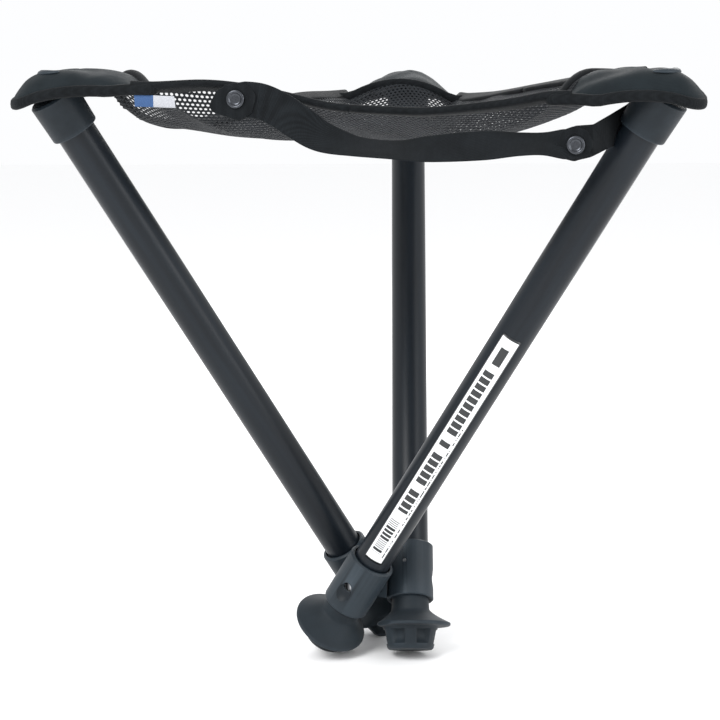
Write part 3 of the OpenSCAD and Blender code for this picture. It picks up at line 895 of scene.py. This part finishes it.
def tab_bend(x):
    """The right tab runs back behind the leg, to the corner of the seat."""
    start, reach, slope = 0.141, 0.019, 2.1
    return slope * min(reach, max(0.0, x - start))


# Outlines on the front side, in x and z over the hinge
TABS = {
    "left": [(-0.083, 0.3105), (-0.0765, 0.3222), (-0.070, 0.3256), (-0.056, 0.326), (-0.0522, 0.3185),
             (-0.0555, 0.3085), (-0.0635, 0.304)],
    "right": [(0.1205, 0.2885), (0.1245, 0.2985), (0.1305, 0.3018), (0.1405, 0.3025), (0.150, 0.3075),
              (0.159, 0.3125), (0.168, 0.319), (0.176, 0.3195), (0.176, 0.300), (0.163, 0.2935), (0.149, 0.288),
              (0.139, 0.2838), (0.1305, 0.2818), (0.1235, 0.284)],
}
STRAP_ENDS = {
    "left": [(-0.0825, 0.3105), (-0.0762, 0.3218), (-0.070, 0.3252), (-0.0575, 0.3255), (-0.0525, 0.319),
             (-0.0555, 0.309), (-0.063, 0.3047)],
    "right": [(0.1185, 0.2882), (0.1238, 0.2995), (0.1300, 0.3018), (0.1375, 0.299), (0.1415, 0.2915),
              (0.138, 0.285), (0.1305, 0.2815), (0.122, 0.2838)],
}
STRAP_FRONT = STRAP_D + STRAP_T
TAB_BACK = {"left": 0.0029, "right": 0.0018}        # how far a tab's back lies behind the strap's
TAB_THICK = {"left": 0.0025, "right": 0.0014}
TAB_ROUND = {"left": 0.005, "right": 0.004}
END_THICK, END_ROUND, END_SUNK = 0.0009, 0.005, 0.0001
THIN_BEVEL = 0.0003


def make_tabs():
    """Tabs sewn to the seat, and the plain patches over the strap's two ends."""
    corners = {name: rounded(points, TAB_ROUND[name]) for name, points in TABS.items()}
    bending = with_steps(corners["right"], 0.0012)
    pieces = {
        "left": flat_piece("strap_tab_left_fabric", corners["left"], STRAP_D - TAB_BACK["left"],
                           TAB_THICK["left"], MATS["hem"]),
        "right": flat_piece("strap_tab_right_fabric", bending, STRAP_D - TAB_BACK["right"],
                            TAB_THICK["right"], MATS["hem"], THIN_BEVEL, tab_bend),
    }
    for name, piece in pieces.items():
        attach(piece, "hub")
        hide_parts("strap_tab_" + name)
    for name, points in STRAP_ENDS.items():
        piece = flat_piece("strap_end_" + name, rounded(points, END_ROUND), STRAP_FRONT - END_SUNK,
                           END_THICK, MATS["hem"], THIN_BEVEL)
        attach(piece, "strap")


def make_snaps():
    """Caps of the snaps: a rolled ring round a dished middle."""
    profile = [(0.0051, 0.0), (0.0055, 0.0005), (0.0053, 0.0014), (0.0047, 0.0019), (0.0040, 0.0018),
               (0.0035, 0.0011), (0.0029, 0.0006), (0.0021, 0.0005), (0.0012, 0.0006), (0.0003, 0.0006)]
    steps = 40
    base = STRAP_FRONT + 0.0007
    for name, (x, z) in SNAPS.items():
        rings = [[on_side("front", x + r * math.cos(math.tau * k / steps), base + out,
                          z + r * math.sin(math.tau * k / steps)) for k in range(steps)] for r, out in profile]
        piece = loft("snap_ring_" + name, rings, MATS["gunmetal"])
        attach(piece, "strap")
        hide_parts("snap_cap_" + name)


# ---- feet ----

# Lean in the leg's plane and towards the hub's axis in degrees, and the flange's sideways offset
FEET = {"right": (3, 10.7, 0.0054), "left": (0, 0, 0.0023), "rear": (-12, 0, 0.0023)}
FOOT_NECK = -0.022
FOOT_NEST = 0.0194        # flats on two sides, so that the feet fit together when folded
POCKETS = 6
POCKET_FLAT = 0.0134      # stud's axis to the bottom of a pocket
POCKET_HALF = 15          # half of a pocket's width, in degrees
# Rings of the foot: height from the neck, radius, share of the offset, and whether the pockets cut it
NECK_RINGS = [(0.0088, 0.0112, 0, 0), (0.0088, 0.0121, 0, 0), (0.0084, 0.0123, 0, 0),
              (0.0030, 0.0123, 0, 0), (0.0010, 0.0124, 0, 0)]
STRAIGHT_RINGS = 4        # the neck stands straight in the collar, and the rest leans
FLARE_STEPS = 16
FLARE_TOP, FLARE_FALL = -0.0006, 0.0088
FLARE_NECK, FLARE_OUT = 0.0125, 0.0113  # radius at the neck, and how much wider the flange is
FLANGE_RINGS = [(-0.0098, 0.02405, 1, 0), (-0.0104, 0.0242, 1, 0), (-0.0111, 0.0240, 1, 0),
                (-0.0116, 0.0233, 1, 0), (-0.0119, 0.0215, 0.7, 0), (-0.0121, 0.0195, 0.3, 0)]
STUD_RINGS = [(-0.0125, 0.0181, 0, 0), (-0.0136, 0.0178, 0, 0), (-0.0139, 0.0177, 0, 0),
              (-0.0142, 0.0176, 0, 1), (-0.0231, 0.0158, 0, 1), (-0.0234, 0.0157, 0, 0),
              (-0.0237, 0.0157, 0, 0), (-0.0255, 0.0153, 0, 0), (-0.0264, 0.0148, 0, 0),
              (-0.0269, 0.0142, 0, 0), (-0.0270, 0.0136, 0, 0)]


def foot_place(leg, x, y, z):
    """A point of the foot, leant as this leg's foot is."""
    lean, turn, _ = (math.radians(v) for v in FEET[leg])
    y, z = y * math.cos(turn) - z * math.sin(turn), y * math.sin(turn) + z * math.cos(turn)
    x, z = x * math.cos(lean) + z * math.sin(lean), -x * math.sin(lean) + z * math.cos(lean)
    return x, y, z + FOOT_NECK


def flare_ring(u):
    """The flare from the neck at 0 to the flange at 1."""
    return FLARE_TOP - FLARE_FALL * u, FLARE_NECK + FLARE_OUT * u ** 1.45, u ** 1.2, 0


def nested(x, y):
    """The point pushed in to the two flats where the feet meet when folded."""
    for sign in (-1, 1):
        dir_x, dir_y = sign * 0.5, SIN60
        over = x * dir_x + y * dir_y - FOOT_NEST
        if over > 0:
            x, y = x - over * dir_x, y - over * dir_y
    return x, y


def make_foot(leg):
    """Rubber foot: a flare from the neck to the flange, and a tapered stud with pockets."""
    offset = FEET[leg][2]
    flare = [flare_ring(i / FLARE_STEPS) for i in range(FLARE_STEPS + 1)]
    steps = 120
    pitch = 360 / POCKETS
    out_x = INWARD[leg].cross(UP_LEG[leg])
    rings = []
    for number, (z, r, share, cut) in enumerate(NECK_RINGS + flare + FLANGE_RINGS + STUD_RINGS):
        ring = []
        for k in range(steps):
            a = math.tau * (k + 0.5) / steps
            near = (math.degrees(a) - pitch / 2) % pitch
            near = min(near, pitch - near)
            radius = min(r, POCKET_FLAT / math.cos(math.radians(near))) if cut and near < POCKET_HALF else r
            x, y = radius * math.cos(a), radius * math.sin(a) - offset * share
            x, y, height = (x, y, z + FOOT_NECK) if number < STRAIGHT_RINGS else foot_place(leg, x, y, z)
            x, y = nested(x, y)
            ring.append(PIN[leg] + UP_LEG[leg] * height + out_x * x + INWARD[leg] * y)
        rings.append(ring)
    piece = loft("foot_rubber_" + leg, rings, MATS["rubber"])
    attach(piece, "inner_leg_" + leg)
    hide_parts("foot_" + leg)


# ---- label and tag ----

def add_uv(piece, uvs):
    """One UV for each vertex, spread to the corners of the faces."""
    layer = piece.data.uv_layers.new(name="UVMap")
    for loop in piece.data.loops:
        layer.data[loop.index].uv = uvs[loop.vertex_index]


def split_uv(p):
    """The two halves of the UV, as sockets."""
    coords = p.tree.nodes.new("ShaderNodeTexCoord")
    parts = p.tree.nodes.new("ShaderNodeSeparateXYZ")
    p.link(coords.outputs["UV"], parts.inputs[0])
    return parts.outputs["X"], parts.outputs["Y"]


def label_print():
    """White film with a dark border, thin bars and plain blocks that say nothing."""
    p = Paint("label_print", roughness=0.32, specular=0.5, coat=0.2)
    u, v = split_uv(p)
    film = p.ramp(p.noise(120, 4), [(0.3, (0.78, 0.79, 0.8)), (0.7, (0.86, 0.87, 0.88))])

    def cells(count):
        """A random number for each of count cells along the label."""
        node = p.tree.nodes.new("ShaderNodeTexWhiteNoise")
        node.noise_dimensions = "1D"
        p.link(p.math("FLOOR", p.math("MULTIPLY", u, count)), node.inputs["W"])
        return node.outputs["Value"]

    def block(along, across):
        """1 inside a block, whose ends are shares of the label's length and width."""
        return p.math("MULTIPLY", p.window(u, *along), p.window(v, *across))

    bars = block((0.04, 0.19), (0.16, 0.66))
    thin = p.math("LESS_THAN", p.math("FRACT", p.math("MULTIPLY", u, 130)), 0.42)
    bars = p.math("MULTIPLY", bars, p.math("MAXIMUM", thin, p.math("GREATER_THAN", cells(130), 0.75)))
    in_block = p.math("LESS_THAN", p.math("FRACT", p.math("MULTIPLY", u, 36)), 0.78)
    words = block((0.23, 0.86), (0.2, 0.72))
    words = p.math("MULTIPLY", p.math("MULTIPLY", words, in_block), p.math("GREATER_THAN", cells(36), 0.12))
    fine = block((0.03, 0.62), (0.8, 0.86))
    fine = p.math("MULTIPLY", fine, p.math("GREATER_THAN", cells(230), 0.35))
    spot = block((0.885, 0.955), (0.3, 0.72))
    ink = p.math("MAXIMUM", p.math("MAXIMUM", bars, words), p.math("MAXIMUM", fine, spot))
    inside = block((0.008, 0.992), (0.05, 0.95))
    ink = p.math("MAXIMUM", ink, p.math("SUBTRACT", 1.0, inside))
    p.color(p.mix(ink, film, (0.012, 0.014, 0.016)))
    p.rough(p.noise(400, 3), 0.26, 0.4)
    p.bump(p.noise(300, 3), 0.00003, 0.4)
    return p.mat


def make_label():
    """Film wrapped part of the way round the right tube."""
    low, high = 0.027, 0.208                    # over the hinge, along the leg
    start, wrap = math.radians(-102), math.radians(62)
    along, round_ = 60, 16
    verts, uvs, faces = [], [], []
    for lift in (0.00004, 0.0002):              # the film's underside and its face
        for i in range(along + 1):
            for j in range(round_ + 1):
                u, v = i / along, j / round_
                verts.append(on_leg("right", TUBE_R + lift, start + wrap * v, low + (high - low) * u))
                uvs.append((u, v))
    row, layer = round_ + 1, (along + 1) * (round_ + 1)
    for i in range(along):
        for j in range(round_):
            a = i * row + j
            faces.append((a, a + row, a + row + 1, a + 1))
            faces.append(tuple(layer + k for k in (a, a + 1, a + row + 1, a + row)))
    border = [i * row for i in range(along)] + [along * row + j for j in range(round_)]
    border += [i * row + round_ for i in range(along, 0, -1)] + list(range(round_, 0, -1))
    faces += [(a, b, layer + b, layer + a) for a, b in zip(border, border[1:] + border[:1])]
    piece = add_piece("leg_label_film", verts, faces, label_print())
    add_uv(piece, uvs)
    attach(piece, "leg_right")
    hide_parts("leg_label")


def tag_weave():
    """Woven tag in two plain halves."""
    p = Paint("tag_weave", roughness=0.75, sheen=0.2)
    along = Vector((math.cos(TURN), math.sin(TURN), 0))
    x = p.tree.nodes.new("ShaderNodeVectorMath")
    x.operation = "DOT_PRODUCT"
    p.link(p.place, x.inputs[0])
    x.inputs[1].default_value = along
    low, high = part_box("seat_tag")
    half = p.math("GREATER_THAN", x.outputs["Value"], (low + high).dot(along) / 2)
    grain = p.noise(1800, 3)
    slate = p.ramp(grain, [(0.3, (0.015, 0.055, 0.16)), (0.7, (0.03, 0.09, 0.23))])
    pale = p.ramp(grain, [(0.3, (0.34, 0.35, 0.38)), (0.7, (0.46, 0.47, 0.5))])
    p.color(p.mix(half, slate, pale))
    p.bump(p.math("MULTIPLY", p.wave(260, "X"), p.wave(260, "Z")), 0.00006, 0.8)
    return p.mat


def make_tag():
    """The tag sewn under the front hem."""
    corners = [(-0.1262, 0.3126), (-0.1018, 0.3118), (-0.1026, 0.3186), (-0.1266, 0.3196)]
    inset, thick, bevel = 0.002, 0.0006, 0.00015
    outline = []
    for a, b in zip(corners, corners[1:] + corners[:1]):
        outline += [Vector(a).lerp(Vector(b), k / 6) for k in range(6)]
    piece = flat_piece("seat_tag_weave", outline, SIDE_D - inset, thick, tag_weave(), bevel)
    follow_corner(piece)
    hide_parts("seat_tag")


# ---- the scene ----

bpy.context.scene.view_settings.view_transform = "Standard"
make_camera()
make_studio()
dress_frame()
make_seat_mesh()
make_hems()
for corner in LEGS:
    make_pad(corner)
    make_binding(corner)
    make_crescent(corner)
for corner in LEGS:
    make_foot(corner)
make_strap()
make_tabs()
make_snaps()
make_label()
make_tag()
